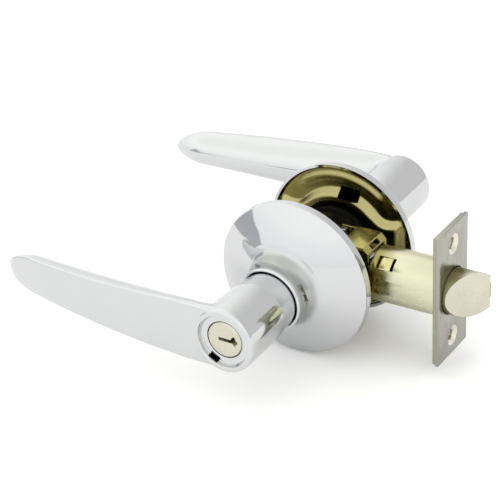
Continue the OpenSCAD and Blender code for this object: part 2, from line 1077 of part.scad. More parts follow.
module latch_bolt() {
  color(nickel)
    difference() {
      rod_x(bolt_r, bolt_back, bolt_tip);
      translate([bevel_x, -bolt_r + 0.4, 0])
        rotate([0, 0, bevel_angle])
          block(-10, 40, -30, 0, -20, 20);
      block(bolt_back + 1.5, bolt_tip + 1, bolt_flat, 20, -20, 20);
      rod_x(pocket_r, bolt_back - 1, pocket_end);
      block(pocket_end - 1, pocket_end + 2.6, -tail_t - 0.05, tail_t + 0.05, -tail_h - 0.05, tail_h + 0.05);
    }
}

module tail_bar() {
  head = 2.2;
  head_half = 7;
  color(steel)
    union() {
      block(hook_x - 0.3 - head, hook_x - 0.3, -tail_t, tail_t, -head_half, head_half);
      block(hook_x - 0.4, pocket_end + 2.5, -tail_t, tail_t, -tail_h, tail_h);
    }
}

module bolt_spring() {
  color(spring_steel)
    coil_x(4.8, 0.45, 14, guide_x + guide_t + 0.1, pocket_end - 0.1);
}

module deadlatch_plunger() {
  color(satin)
    difference() {
      intersection() {
        rod_x(bolt_r + 0.2, plunger_back, bolt_tip);
        block(plunger_back - 1, bolt_tip + 1, bolt_flat + 0.2, 12, -3, 3);
      }
      translate([bolt_tip, bolt_flat, 0])
        rotate([0, 0, 45])
          block(0.6, 9, -9, 9, -4, 4);
    }
}

module plunger_spring() {
  color(spring_steel)
    translate([0, 7.9, 0])
      coil_x(1, 0.22, 7, bolt_back + 1.55, plunger_back - 0.05);
}

// ---- Inside lock button --------------------------------------------------

bush_r = 8.9;
button_r = 6.9;
button_y = bore_end - 6;

module button_bush() {
  color(brass)
    turned([
      [button_r + running_gap, button_y],
      [lever_bore - seat_gap, button_y],
      [lever_bore - seat_gap, bore_end - 0.05],
      [bush_r, bore_end - 0.05],
      [bush_r, recess_floor + 0.3],
      [button_r + running_gap, recess_floor + 0.3]
    ]);
}

module turn_button() {
  color(nickel)
    difference() {
      union() {
        rod_y(button_r, button_y, hub_front + 0.4);
        intersection() {
          rod_y(button_r - 0.3, hub_front, hub_front + 6.6);
          block(-1.6, 1.6, hub_front - 1, hub_front + 8, -8, 8);
        }
      }
      block(-bar_w / 2, bar_w / 2, button_y - 1, button_y + 4, -bar_t / 2 - 0.05, bar_t / 2 + 0.05);
    }
}

module lock_bar() {
  color(steel)
    block(-bar_w / 2 + 0.05, bar_w / 2 - 0.05, -clutch_y + 2.6, button_y + 4, -bar_t / 2, bar_t / 2);
}

module lock_cam() {
  color(steel)
    difference() {
      rod_y(3.4, -clutch_y + 0.5, -clutch_y + 5, round_fn);
      block(-bar_w / 2, bar_w / 2, -clutch_y + 2.6, -clutch_y + 6, -bar_t / 2 - 0.05, bar_t / 2 + 0.05);
    }
}

// ---- Assembly ------------------------------------------------------------

outside_lever();
outside_lever_insert();
outside_lever_catch();
outside_sleeve();
outside_spring_driver();
outside_return_spring();
outside_rose();
outside_rose_plate();
outside_hub();
outside_retaining_ring();
cylinder_shell();
driver_pins();
driver_springs();
cylinder_clip();
key_plug();
bottom_pins();
plug_clip();
tailpiece();
clutch_bar();
clutch_spring();
spring_seat();
drum();
chassis_frame();
retractor();
retractor_spring();
spindle();
drive_cam();
latch_tube();
tube_guide();
backing_plate();
faceplate();
latch_bolt();
tail_bar();
bolt_spring();
deadlatch_plunger();
plunger_spring();
inside_hub();
inside_retaining_ring();
mounting_plate();
mounting_screws();
inside_rose();
inside_return_spring();
inside_spring_driver();
inside_sleeve();
inside_lever();
inside_lever_insert();
inside_lever_catch();
button_bush();
turn_button();
lock_bar();
lock_cam();
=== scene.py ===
"""Looks of a keyed lever handle lockset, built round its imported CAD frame. Metres, +X to the door edge."""
import json
import math

import bmesh
import bpy
import numpy as np
from mathutils import Matrix, Vector


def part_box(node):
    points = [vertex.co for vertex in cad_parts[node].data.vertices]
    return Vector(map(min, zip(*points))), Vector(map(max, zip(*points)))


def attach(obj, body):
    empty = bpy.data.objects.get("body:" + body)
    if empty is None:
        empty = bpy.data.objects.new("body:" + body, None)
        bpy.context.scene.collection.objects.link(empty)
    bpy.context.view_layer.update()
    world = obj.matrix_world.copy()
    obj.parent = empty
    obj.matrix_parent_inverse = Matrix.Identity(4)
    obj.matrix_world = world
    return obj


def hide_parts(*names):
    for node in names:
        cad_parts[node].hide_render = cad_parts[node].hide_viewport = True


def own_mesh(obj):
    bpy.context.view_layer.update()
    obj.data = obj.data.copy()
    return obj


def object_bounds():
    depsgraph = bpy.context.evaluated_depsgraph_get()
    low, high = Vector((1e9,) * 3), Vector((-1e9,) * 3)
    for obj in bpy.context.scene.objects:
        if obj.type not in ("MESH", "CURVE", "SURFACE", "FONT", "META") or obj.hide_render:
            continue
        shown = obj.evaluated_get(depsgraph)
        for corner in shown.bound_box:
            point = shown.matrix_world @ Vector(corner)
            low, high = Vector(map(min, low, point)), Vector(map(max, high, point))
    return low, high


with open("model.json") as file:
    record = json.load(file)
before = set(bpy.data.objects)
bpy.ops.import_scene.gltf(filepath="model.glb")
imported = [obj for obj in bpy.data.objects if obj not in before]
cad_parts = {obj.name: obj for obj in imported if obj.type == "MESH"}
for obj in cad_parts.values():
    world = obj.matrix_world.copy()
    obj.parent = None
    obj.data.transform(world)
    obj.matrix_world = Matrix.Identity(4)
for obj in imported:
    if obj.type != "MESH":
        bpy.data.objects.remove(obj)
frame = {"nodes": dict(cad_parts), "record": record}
cad_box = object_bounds()

MM = 0.001


# ---------------------------------------------------------------- driving sizes, from the frame

def low(node):
    """A CAD node's lowest corner."""
    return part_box(node)[0]


def high(node):
    """A CAD node's highest corner."""
    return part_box(node)[1]


FACE = low("inside_rose").y
NECK_END = high("inside_rose").y
ROSE_R = high("inside_rose").x
HUB_FRONT = high("inside_lever").y
SHANK_END = low("inside_lever").y
HUB_R = high("inside_lever").x
LEVER_LEN = -low("inside_lever").x


# ---------------------------------------------------------------- mesh helpers

MERGE = 1e-6
DRILL_STEPS = 96


def new_object(name, verts, faces):
    mesh = bpy.data.meshes.new(name)
    mesh.from_pydata([tuple(v) for v in verts], [], faces)
    mesh.validate()
    obj = bpy.data.objects.new(name, mesh)
    bpy.context.scene.collection.objects.link(obj)
    return obj


def clean(obj):
    """Merges doubled points, removes faces without area and turns all normals outwards."""
    bm = bmesh.new()
    bm.from_mesh(obj.data)
    bmesh.ops.remove_doubles(bm, verts=bm.verts, dist=MERGE)
    bmesh.ops.dissolve_degenerate(bm, edges=bm.edges, dist=MERGE)
    bmesh.ops.recalc_face_normals(bm, faces=bm.faces)
    bm.to_mesh(obj.data)
    bm.free()


def smooth(obj, angle):
    """Smooth shading, with edges sharper than the angle in degrees kept crisp."""
    obj.data.shade_smooth()
    obj.data.set_sharp_from_angle(angle=math.radians(angle))


def ring_faces(rings, count, closed):
    """Quads between rings of count points; a closed set joins its last ring to its first."""
    faces = []
    for i in range(rings if closed else rings - 1):
        n = (i + 1) % rings
        for j in range(count):
            k = (j + 1) % count
            faces.append((i * count + j, i * count + k, n * count + k, n * count + j))
    return faces


def lathe(name, profile, steps, offset=(0, 0, 0)):
    """A solid of revolution about Y, from a closed loop of (radius, y) points."""
    verts = []
    for i in range(steps):
        a = 2 * math.pi * i / steps
        for r, y in profile:
            verts.append(Vector((r * math.cos(a), y, r * math.sin(a))) + Vector(offset))
    obj = new_object(name, verts, ring_faces(steps, len(profile), closed=True))
    clean(obj)
    return obj


def loft(name, rings):
    """A closed skin over rings of points, with flat caps."""
    count = len(rings[0])
    last = (len(rings) - 1) * count
    faces = ring_faces(len(rings), count, closed=False)
    faces.append(tuple(range(count))[::-1])
    faces.append(tuple(last + j for j in range(count)))
    obj = new_object(name, [point for ring in rings for point in ring], faces)
    clean(obj)
    return obj


def block(name, lo, hi, turn=None):
    """A block between two corners, turned about the origin."""
    verts = [Vector((x, y, z)) for x in (lo[0], hi[0]) for y in (lo[1], hi[1]) for z in (lo[2], hi[2])]
    if turn is not None:
        verts = [turn @ vert for vert in verts]
    faces = [(0, 1, 3, 2), (4, 6, 7, 5), (0, 4, 5, 1), (2, 3, 7, 6), (0, 2, 6, 4), (1, 5, 7, 3)]
    obj = new_object(name, verts, faces)
    clean(obj)
    return obj


def boolean(obj, tool, operation="DIFFERENCE"):
    """Applies a boolean with tool, then deletes tool."""
    modifier = obj.modifiers.new("cut", "BOOLEAN")
    modifier.operation = operation
    modifier.solver = "EXACT"
    modifier.object = tool
    bpy.context.view_layer.update()
    graph = bpy.context.evaluated_depsgraph_get()
    mesh = bpy.data.meshes.new_from_object(obj.evaluated_get(graph))
    obj.modifiers.clear()
    old = obj.data
    obj.data = mesh
    bpy.data.meshes.remove(old)
    bpy.data.objects.remove(tool)


def drill(obj, radius, start, end, steps=DRILL_STEPS, offset=(0, 0, 0)):
    """Cuts a round hole along Y."""
    profile = [(0.0, start), (radius, start), (radius, end), (0.0, end)]
    boolean(obj, lathe("drill", profile, steps, offset))


def arc(cx, cy, r, a0, a1, steps):
    """Points of an arc about (cx, cy), angles in degrees."""
    return [
        (cx + r * math.cos(math.radians(a0 + (a1 - a0) * i / steps)),
         cy + r * math.sin(math.radians(a0 + (a1 - a0) * i / steps)))
        for i in range(steps + 1)
    ]


def mirror_y(obj):
    """Turns an inside part into its outside twin."""
    obj.data.transform(Matrix.Scale(-1, 4, (0, 1, 0)))
    obj.data.flip_normals()


def finish_piece(obj, body, node, slot, angle):
    """Shades a piece, gives it its material and its body, and hides the CAD node it stands for."""
    smooth(obj, angle)
    obj.data.materials.clear()
    obj.data.materials.append(MATERIALS[slot])
    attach(obj, body)
    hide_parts(node)


# ---------------------------------------------------------------- shader node helpers

def feed(tree, socket, value):
    """Links another node's output to a socket, or sets the socket to a plain value."""
    if isinstance(value, bpy.types.NodeSocket):
        tree.links.new(value, socket)
    else:
        socket.default_value = value


def math_of(tree, operation, *values):
    node = tree.nodes.new("ShaderNodeMath")
    node.operation = operation
    for socket, value in zip(node.inputs, values):
        feed(tree, socket, value)
    return node.outputs["Value"]


def product_of(tree, *factors):
    product = factors[0]
    for factor in factors[1:]:
        product = math_of(tree, "MULTIPLY", product, factor)
    return product


def reach_of(tree, first, second):
    """Distance from an axis, by the two coordinates across it."""
    squares = [math_of(tree, "MULTIPLY", side, side) for side in (first, second)]
    return math_of(tree, "SQRT", math_of(tree, "ADD", *squares))


def split_of(tree, vector):
    """A vector's three coordinates."""
    split = tree.nodes.new("ShaderNodeSeparateXYZ")
    tree.links.new(vector, split.inputs["Vector"])
    return split.outputs


def range_of(tree, value, start, end, lowest=0.0, highest=1.0, interpolation="LINEAR"):
    """Carries a value from start..end over to lowest..highest, and holds it there past both ends."""
    node = tree.nodes.new("ShaderNodeMapRange")
    node.interpolation_type = interpolation
    for name, number in (("From Min", start), ("From Max", end), ("To Min", lowest), ("To Max", highest)):
        node.inputs[name].default_value = number
    tree.links.new(value, node.inputs["Value"])
    return node.outputs["Result"]


def ramp_of(tree, value, ramp, origin=0.0):
    """0 where value is ramp[0] past the origin, 1 where it is ramp[1] past it, smooth between them."""
    start, end = ramp
    return range_of(tree, value, origin + start, origin + end, interpolation="SMOOTHSTEP")


def tone_over(tree, under, over, share):
    """Lays a colour over another, by a share socket; under may be another node's output."""
    mix = tree.nodes.new("ShaderNodeMix")
    mix.data_type = "RGBA"
    feed(tree, mix.inputs["A"], under)
    feed(tree, mix.inputs["B"], (*over, 1))
    feed(tree, mix.inputs["Factor"], share)
    return mix.outputs["Result"]


# ---------------------------------------------------------------- tones laid over a material by place
# Each ramp runs from where its tone is absent to where it is full.

# Painted shade and dark reflection on the bolt's round side, near the faceplate.
BOLT_SHADE = (0.185, 0.17, 0.075)
BOLT_SHADE_SHARE = 0.95
BOLT_SHADE_NEAR = (8.5 * MM, 4.0 * MM)
BOLT_SHADE_START = (-4 * MM, -2 * MM)
BOLT_SHADE_FACING = (0.45, 0.15)


def bolt_painted_shade(tree, coords, base):
    """Painted shade and dark reflection: the bolt's round side is painted dark olive near the faceplate, and
    its bevel keeps the plain nickel.
    """
    along = split_of(tree, coords.outputs["Object"])["X"]
    facing = split_of(tree, coords.outputs["Normal"])["X"]
    front = high("faceplate").x
    near = ramp_of(tree, along, BOLT_SHADE_NEAR, front)
    round_side = ramp_of(tree, facing, BOLT_SHADE_FACING)
    on_bolt = ramp_of(tree, along, BOLT_SHADE_START, front)
    return tone_over(tree, base, BOLT_SHADE, product_of(tree, near, round_side, on_bolt, BOLT_SHADE_SHARE))


# Painted highlight: a cream ring over each countersink of the faceplate.
SINK_HIGHLIGHT = (0.80, 0.76, 0.66)
SINK_Z = 41.3 / 2 * MM
SINK_R = 4.2 * MM
SINK_EDGE = (0.15 * MM, -0.15 * MM)


def painted_sink_highlights(tree, coords, base):
    """The countersinks of the faceplate are painted cream, paler than its brushed face, as a painted
    highlight.
    """
    place = split_of(tree, coords.outputs["Object"])
    off_screw = math_of(tree, "SUBTRACT", math_of(tree, "ABSOLUTE", place["Z"]), SINK_Z)
    reach = reach_of(tree, off_screw, place["Y"])
    return tone_over(tree, base, SINK_HIGHLIGHT, ramp_of(tree, reach, SINK_EDGE, SINK_R))


# Painted shade: dark olive over the tube's inner end.
TUBE_END_SHADE = (0.33, 0.29, 0.10)
TUBE_END_SHADE_FADE = (12 * MM, 1 * MM)
TUBE_START = (-2 * MM, -1 * MM)
TUBE_INSIDE = (0.66, 0.60, 0.32)
TUBE_SKIN = (-0.3 * MM, -0.6 * MM)
BACKING = (0.40, 0.38, 0.30)
BACKING_START = (-0.1 * MM, 0.0)


def tube_tint_and_end_shade(tree, coords, base):
    """The tube's inner end has painted shade in dark olive; under its skin the tube is deeper yellow, and its
    backing plate is duller.
    """
    place = split_of(tree, coords.outputs["Object"])
    start = low("latch_tube").x
    in_latch = ramp_of(tree, place["X"], TUBE_START, start)
    inner_end = ramp_of(tree, place["X"], TUBE_END_SHADE_FADE, start)
    tube = tone_over(tree, base, TUBE_END_SHADE, product_of(tree, inner_end, in_latch))
    under_skin = ramp_of(tree, reach_of(tree, place["Y"], place["Z"]), TUBE_SKIN, high("latch_tube").z)
    tube = tone_over(tree, tube, TUBE_INSIDE, product_of(tree, under_skin, in_latch))
    return tone_over(tree, tube, BACKING, ramp_of(tree, place["X"], BACKING_START, low("backing_plate").x))


# Painted highlight on the plates' pressed slopes and painted shade round the drum; the frame's tone is its
# own colour.
SLOPE_SHEEN = (0.66, 0.60, 0.30)
SLOPE_SHEEN_SHARE = 0.5
SLOPE_SHEEN_FACING = (0.95, 0.78)
DRUM_SHADE = (0.008, 0.008, 0.006)
DRUM_SHADE_R = 17.7 * MM
DRUM_SHADE_EDGE = (0.3 * MM, 0.0)
FRAME_TONE = (0.44, 0.39, 0.13)
FRAME_EDGE = (0.0, -0.3 * MM)


def plate_sheen_shade_and_frame_tone(tree, coords, base):
    """The plates' pressed slopes are painted pale as a painted highlight and painted black round the drum as
    painted shade; the frame between them is lighter.
    """
    place = split_of(tree, coords.outputs["Object"])
    flat = math_of(tree, "ABSOLUTE", split_of(tree, coords.outputs["Normal"])["Y"])
    sloping = ramp_of(tree, flat, SLOPE_SHEEN_FACING)
    painted_tone = tone_over(tree, base, SLOPE_SHEEN, product_of(tree, sloping, SLOPE_SHEEN_SHARE))
    reach = reach_of(tree, place["X"], place["Z"])
    painted_tone = tone_over(tree, painted_tone, DRUM_SHADE, ramp_of(tree, reach, DRUM_SHADE_EDGE, DRUM_SHADE_R))
    off_middle = math_of(tree, "ABSOLUTE", place["Y"])
    between = ramp_of(tree, off_middle, FRAME_EDGE, low("mounting_plate").y)
    return tone_over(tree, painted_tone, FRAME_TONE, between)


NECK_TONE = (0.36, 0.37, 0.345)
NECK_SHARE = 0.8
NECK_FROM_FACE = (11.5 * MM, 13.5 * MM)
NECK_FROM_LIP = (-1.2 * MM, -2.2 * MM)


def neck_shade(tree, coords, base):
    """The roses' concave necks are greyer than the rest of the chrome."""
    off_middle = math_of(tree, "ABSOLUTE", split_of(tree, coords.outputs["Object"])["Y"])
    beyond_cone = ramp_of(tree, off_middle, NECK_FROM_FACE, FACE)
    below_lip = ramp_of(tree, off_middle, NECK_FROM_LIP, NECK_END)
    return tone_over(tree, base, NECK_TONE, product_of(tree, beyond_cone, below_lip, NECK_SHARE))


# Painted shade: black over the cylinder front that the outside lever's notch shows.
FRONT_SHADE = (0.01, 0.01, 0.01)
FRONT_DEPTH = (12 * MM, 11 * MM)


def front_painted_shade(tree, coords, base):
    """The outside cylinder's front is painted black as painted shade, where the notch in the lever's face
    shows it.
    """
    across = split_of(tree, coords.outputs["Object"])["Y"]
    return tone_over(tree, base, FRONT_SHADE, ramp_of(tree, across, FRONT_DEPTH, -HUB_FRONT))


# ---------------------------------------------------------------- materials

NOISE_LOW = 0.3
NOISE_HIGH = 0.7
LEAST_ROUGH = 0.02
ROUGH_FINER = 4
BUMP_DISTANCE = 0.2 * MM
TONE_DETAIL = 4
PATCH_DETAIL = 2
ROUGH_DETAIL = 6
BUMP_DETAIL = 5


def noise_of(tree, place, scale, detail):
    noise = tree.nodes.new("ShaderNodeTexNoise")
    noise.inputs["Scale"].default_value = scale
    noise.inputs["Detail"].default_value = detail
    tree.links.new(place, noise.inputs["Vector"])
    return noise.outputs["Fac"]


def material(name, colour, rough, metallic=1, spread=0.05, tone=0.06, scale=60, stretch=(1, 1, 1), bump=0.02,
             bump_scale=900, second=None, second_scale=25, specular=0.5, layer=None):
    """A finish with uneven tone, uneven roughness and a fine bump, all from noise.

    tone and spread are how far colour and roughness vary; second is a colour that lies over it in patches.
    layer(tree, coords, base) may lay more tones over the colour, by place on the object.
    """
    mat = bpy.data.materials.new(name)
    mat.use_nodes = True
    tree = mat.node_tree
    shader = tree.nodes["Principled BSDF"]
    coords = tree.nodes.new("ShaderNodeTexCoord")
    mapping = tree.nodes.new("ShaderNodeMapping")
    mapping.inputs["Scale"].default_value = stretch
    tree.links.new(coords.outputs["Object"], mapping.inputs["Vector"])

    def spread_noise(noise_scale, detail, lowest=0, highest=1):
        noise = noise_of(tree, mapping.outputs["Vector"], noise_scale, detail)
        return range_of(tree, noise, NOISE_LOW, NOISE_HIGH, lowest, highest)

    dark = [c * (1 - tone) for c in colour]
    light = [min(1, c * (1 + tone)) for c in colour]
    base = tone_over(tree, (*dark, 1), light, spread_noise(scale, TONE_DETAIL))
    if second is not None:
        base = tone_over(tree, base, second, spread_noise(second_scale, PATCH_DETAIL))
    if layer is not None:
        base = layer(tree, coords, base)
    smoothest = max(LEAST_ROUGH, rough - spread)
    roughness = spread_noise(scale * ROUGH_FINER, ROUGH_DETAIL, smoothest, rough + spread)
    bumps = tree.nodes.new("ShaderNodeBump")
    bumps.inputs["Strength"].default_value = bump
    bumps.inputs["Distance"].default_value = BUMP_DISTANCE
    bump_noise = noise_of(tree, mapping.outputs["Vector"], bump_scale, BUMP_DETAIL)
    tree.links.new(bump_noise, bumps.inputs["Height"])
    shader.inputs["Metallic"].default_value = metallic
    shader.inputs["Specular IOR Level"].default_value = specular
    tree.links.new(base, shader.inputs["Base Color"])
    tree.links.new(roughness, shader.inputs["Roughness"])
    tree.links.new(bumps.outputs["Normal"], shader.inputs["Normal"])
    return mat


LOOKS = {
    "chrome": dict(colour=(0.653, 0.662, 0.672), rough=0.07, spread=0.025, tone=0.01, scale=80, bump=0.01,
                   bump_scale=500, layer=neck_shade),
    "zinc_yellow": dict(colour=(0.22, 0.19, 0.06), rough=0.29, spread=0.07, tone=0.12, scale=55, bump=0.08,
                        second=(0.12, 0.10, 0.03), second_scale=38, layer=plate_sheen_shade_and_frame_tone),
    "zinc_pale": dict(colour=(0.70, 0.675, 0.50), rough=0.27, spread=0.06, tone=0.07, scale=45, bump=0.05,
                      second=(0.67, 0.66, 0.475), second_scale=30, layer=tube_tint_and_end_shade),
    "black_steel": dict(colour=(0.005, 0.005, 0.004), rough=0.16, metallic=0, spread=0.06, tone=0.3, scale=90,
                        bump=0.05, specular=0.12),
    "satin_steel": dict(colour=(0.40, 0.388, 0.345), rough=0.26, spread=0.06, tone=0.05, scale=160,
                        stretch=(1, 6, 0.12), bump=0.2, bump_scale=1600, layer=painted_sink_highlights),
    "nickel": dict(colour=(0.66, 0.625, 0.53), rough=0.26, tone=0.04, scale=120, bump=0.05, bump_scale=1400,
                   layer=bolt_painted_shade),
    "brass": dict(colour=(0.78, 0.60, 0.28), rough=0.28, tone=0.08, bump=0.1, layer=front_painted_shade),
    "steel": dict(colour=(0.52, 0.52, 0.52), rough=0.30, tone=0.08, bump=0.12),
    "spring_steel": dict(colour=(0.58, 0.58, 0.60), rough=0.25, tone=0.05, bump=0.05),
}
MATERIALS = {name: material(name, **look) for name, look in LOOKS.items()}


# ---------------------------------------------------------------- levers

# The blade: s runs along it, from 0 on the spindle axis to 1 at the tip. The numbers of HALF_, FRONT_,
# DEEP_ and EDGE_ go into the formulas below, which give millimetres.
BLADE_ROOT = -0.02
BLADE_END = 0.9995
BLADE_STATIONS = 120
STATION_CROWDING = 1.6
TIP_ROUND = 0.86
TIP_HALF = 5 * MM
TIP_DROP = 1.5 * MM
HALF_MOST = 12.9
HALF_TAPER = (14.1, -8.9, 2.0)
HALF_BLEND = 0.25
FRONT_INSET = 0.05
FRONT_BEND = 1.0
FRONT_SWEEP = 9.0
DEEP_ENDS = 8.5
DEEP_BELLY = 20.0
EDGE_CRISP = 0.3
EDGE_SOFT = 2.0
EDGE_SOFT_END = 0.4
CROWN = 0.4 * MM
FRONT_STEPS = 20
CORNER_STEPS = 4
BACK_STEPS = 34
FILLET = 3.0 * MM
FILLET_REACH = 1.6

# The hub: HUB_TAPER's points are in mm, as radius past the hub's and distance from the rose's lip.
HUB_STEPS = 160
HUB_EDGE = 1.2 * MM
HUB_TAPER = ((-0.9, 5), (-0.5, 9), (-0.2, 14), (0, 20))
NECK_R = 13.65 * MM
NECK_BORE = NECK_R - 1.25 * MM
SHANK_R = NECK_BORE - 0.4 * MM
SHANK_BORE_R = 11 * MM
RECESS_R = 11.0 * MM
RECESS_DEPTH = 2.2 * MM
RECESS_FOOT = RECESS_R - 0.9 * MM
RECESS_CORNER = 0.4 * MM
RECESS_FLOOR = HUB_FRONT - RECESS_DEPTH
FRONT_WALL = 2.3 * MM
PLUG_HOLE_R = 7.82 * MM
BUTTON_HOLE_R = 8.93 * MM
HOLE_STEPS = 128
NOTCH_ANGLE = -241
NOTCH_R = (8.7 * MM, 10.95 * MM)
NOTCH_HALF = 2.2 * MM
NOTCH_DEPTH = (0.3 * MM, 6 * MM)
LEVER_ANGLE = 32


def soft_min(a, b):
    """The lesser of two values, with a smooth change from one to the other."""
    return (a + b - math.sqrt((a - b) ** 2 + HALF_BLEND)) / 2


def tip_round(s):
    """1 along the blade, and down a quarter of an ellipse to 0 at its tip."""
    if s < TIP_ROUND:
        return 1.0
    return math.sqrt(max(0.0, 1 - ((s - TIP_ROUND) / (1 - TIP_ROUND)) ** 2))


def blade_half(s):
    """Half of the blade's height."""
    start, slope, curve = HALF_TAPER
    return MM * soft_min(HALF_MOST, start + slope * s + curve * s * s) * tip_round(s)


def blade_front(s):
    """Distance of the blade's front edges from the middle of the door."""
    return HUB_FRONT - CROWN - MM * (FRONT_INSET + FRONT_BEND * s * s + FRONT_SWEEP * s ** 3)


def blade_deep(s):
    """The blade's depth from front to back."""
    return MM * (DEEP_ENDS + DEEP_BELLY * s * (1 - s)) * tip_round(s)


def blade_edge(s):
    """Rounding between the front and the back: soft at the hub, crisp towards the tip."""
    return MM * (EDGE_CRISP + EDGE_SOFT * max(0.0, 1 - s / EDGE_SOFT_END) ** 2)


def hub_fillet(x, z):
    """How much deeper the blade's back is at (x, z), to meet the hub in a fillet."""
    reach = HUB_R + FILLET - math.hypot(x, z)
    if not 0 < reach < FILLET * FILLET_REACH:
        return 0.0
    inner = min(1.0, reach / FILLET)
    return FILLET * (1 - math.sqrt(max(0.0, 1 - inner * inner)))


def blade_ring(s):
    """The blade's section: a crowned front, small rounded edges and an elliptical back."""
    x = -LEVER_LEN * s
    half = blade_half(s)
    share = min(1.0, half / TIP_HALF)
    edge = blade_edge(max(0.0, s)) * share
    front = blade_front(s) - TIP_DROP * (1 - share)
    back = front - edge
    turns = [math.radians(90 * i / CORNER_STEPS) for i in range(1, CORNER_STEPS)]
    corner = [(back + edge * math.sin(a), half - edge + edge * math.cos(a)) for a in turns]
    points = []
    for i in range(FRONT_STEPS + 1):
        t = 2 * i / FRONT_STEPS - 1
        points.append((x, front + CROWN * share * (1 - t * t), (half - edge) * t))
    points += [(x, y, z) for y, z in reversed(corner)]
    for i in range(BACK_STEPS + 1):
        a = math.pi * i / BACK_STEPS
        z = half * math.cos(a)
        y = back - (blade_deep(s) - edge) * math.sin(a) - hub_fillet(x, z) * math.sin(a) ** 0.5
        points.append((x, y, z))
    points += [(x, y, -z) for y, z in corner]
    return points


def hub_profile():
    """Shank in the rose's neck, taper up to the hub, and the hub with its rounded front edge."""
    profile = [(0.0, SHANK_END), (SHANK_R, SHANK_END), (SHANK_R, NECK_END - 1.5 * MM)]
    profile += [(NECK_BORE - 0.35 * MM, NECK_END + 0.2 * MM), (NECK_BORE - 0.1 * MM, NECK_END + 2.6 * MM)]
    profile += [(HUB_R + r * MM, NECK_END + y * MM) for r, y in HUB_TAPER]
    profile += [(HUB_R, HUB_FRONT - 2.4 * MM), (HUB_R - 0.03 * MM, HUB_FRONT - 1.6 * MM)]
    profile += arc(HUB_R - 1.3 * MM, HUB_FRONT - HUB_EDGE, HUB_EDGE, 0, 90, 8)[1:]
    profile.append((0.0, HUB_FRONT))
    return profile


def recess_profile():
    """The round recess in the lever's face, with a small corner at its foot and an eased rim."""
    profile = [(0.0, RECESS_FLOOR), (RECESS_FOOT, RECESS_FLOOR)]
    profile += arc(RECESS_FOOT, RECESS_FLOOR + RECESS_CORNER, RECESS_CORNER, -60, 0, 4)
    profile += [(RECESS_R - 0.2 * MM, HUB_FRONT - 0.35 * MM), (RECESS_R, HUB_FRONT - 0.05 * MM)]
    profile += [(RECESS_R + 0.5 * MM, HUB_FRONT + 0.6 * MM), (0.0, HUB_FRONT + 0.6 * MM)]
    return profile


def lever_mesh(name, hole_r):
    obj = lathe(name, hub_profile(), HUB_STEPS)
    stations = [
        BLADE_ROOT + (BLADE_END - BLADE_ROOT) * (1 - (1 - i / BLADE_STATIONS) ** STATION_CROWDING)
        for i in range(BLADE_STATIONS + 1)
    ]
    boolean(obj, loft("blade", [blade_ring(s) for s in stations]), "UNION")
    boolean(obj, lathe("recess", recess_profile(), HUB_STEPS))
    drill(obj, SHANK_BORE_R, SHANK_END - MM, RECESS_FLOOR - FRONT_WALL)
    drill(obj, hole_r, RECESS_FLOOR - 4 * MM, RECESS_FLOOR + MM, HOLE_STEPS)
    return obj


def build_levers():
    outside = lever_mesh("lever_outside", PLUG_HOLE_R)
    inner = (NOTCH_R[0], HUB_FRONT - NOTCH_DEPTH[1], -NOTCH_HALF)
    outer = (NOTCH_R[1], HUB_FRONT - NOTCH_DEPTH[0], NOTCH_HALF)
    turn = Matrix.Rotation(math.radians(NOTCH_ANGLE), 3, "Y")
    boolean(outside, block("notch", inner, outer, turn))
    mirror_y(outside)
    inside = lever_mesh("lever_inside", BUTTON_HOLE_R)
    for lever, node in ((outside, "outside_lever"), (inside, "inside_lever")):
        clean(lever)
        finish_piece(lever, node, node, "chrome", LEVER_ANGLE)


# ---------------------------------------------------------------- roses

ROSE_STEPS = 256
ROSE_ANGLE = 35
ROSE_BAND = FACE + 4.0 * MM
ROSE_EDGE = 0.9 * MM
ROSE_WALL = 1.1 * MM
CONE_STEPS = 15
CONE_BULGE = 0.55 * MM
CONE_LEAN = (0.45, 0.9)
FLARE_STEPS = 16
FLARE_BASE_R = 17.8 * MM
FLARE_BASE = FACE + 11.7 * MM
FLARE_END = NECK_END - 3.2 * MM
FLARE_R = NECK_R - 0.25 * MM
LIP = 0.75 * MM


def rose_profile():
    """A rounded rim, a slightly bulging cone, a concave flare into the neck and a rolled lip."""
    outer = [(ROSE_R, FACE), (ROSE_R, ROSE_BAND - ROSE_EDGE)]
    outer += arc(ROSE_R - ROSE_EDGE, ROSE_BAND - ROSE_EDGE, ROSE_EDGE, 8, 62, 5)
    start_r, start_y = outer[-1]
    for i in range(1, CONE_STEPS):
        t = i / CONE_STEPS
        bulge = CONE_BULGE * math.sin(math.pi * t)
        outer.append((start_r + (FLARE_BASE_R - start_r) * t + bulge * CONE_LEAN[0],
                      start_y + (FLARE_BASE - start_y) * t + bulge * CONE_LEAN[1]))
    for i in range(1, FLARE_STEPS + 1):
        a = math.radians(90 * i / FLARE_STEPS)
        outer.append((FLARE_R + (FLARE_BASE_R - FLARE_R) * (1 - math.sin(a)),
                      FLARE_BASE + (FLARE_END - FLARE_BASE) * (1 - math.cos(a))))
    outer += [(FLARE_R, NECK_END - 2.4 * MM), (FLARE_R + 0.1 * MM, NECK_END - 1.7 * MM)]
    outer += arc(NECK_R - LIP, NECK_END - LIP, LIP, -20, 100, 10)
    inner = [(NECK_BORE + 0.05 * MM, NECK_END - 0.3 * MM), (NECK_BORE, NECK_END - 0.8 * MM)]
    inner += [(NECK_BORE, FLARE_BASE + MM), (FLARE_BASE_R - 0.8 * MM, FLARE_BASE - 1.2 * MM)]
    inner += [(ROSE_R - 1.5 * MM, ROSE_BAND - 1.2 * MM), (ROSE_R - ROSE_WALL, ROSE_BAND - 1.6 * MM)]
    inner.append((ROSE_R - ROSE_WALL, FACE))
    return outer + inner


def build_roses():
    for side in ("outside", "inside"):
        rose = lathe("rose_" + side, rose_profile(), ROSE_STEPS)
        if side == "outside":
            mirror_y(rose)
        finish_piece(rose, "chassis", side + "_rose", "chrome", ROSE_ANGLE)


# ---------------------------------------------------------------- pressed rose plates

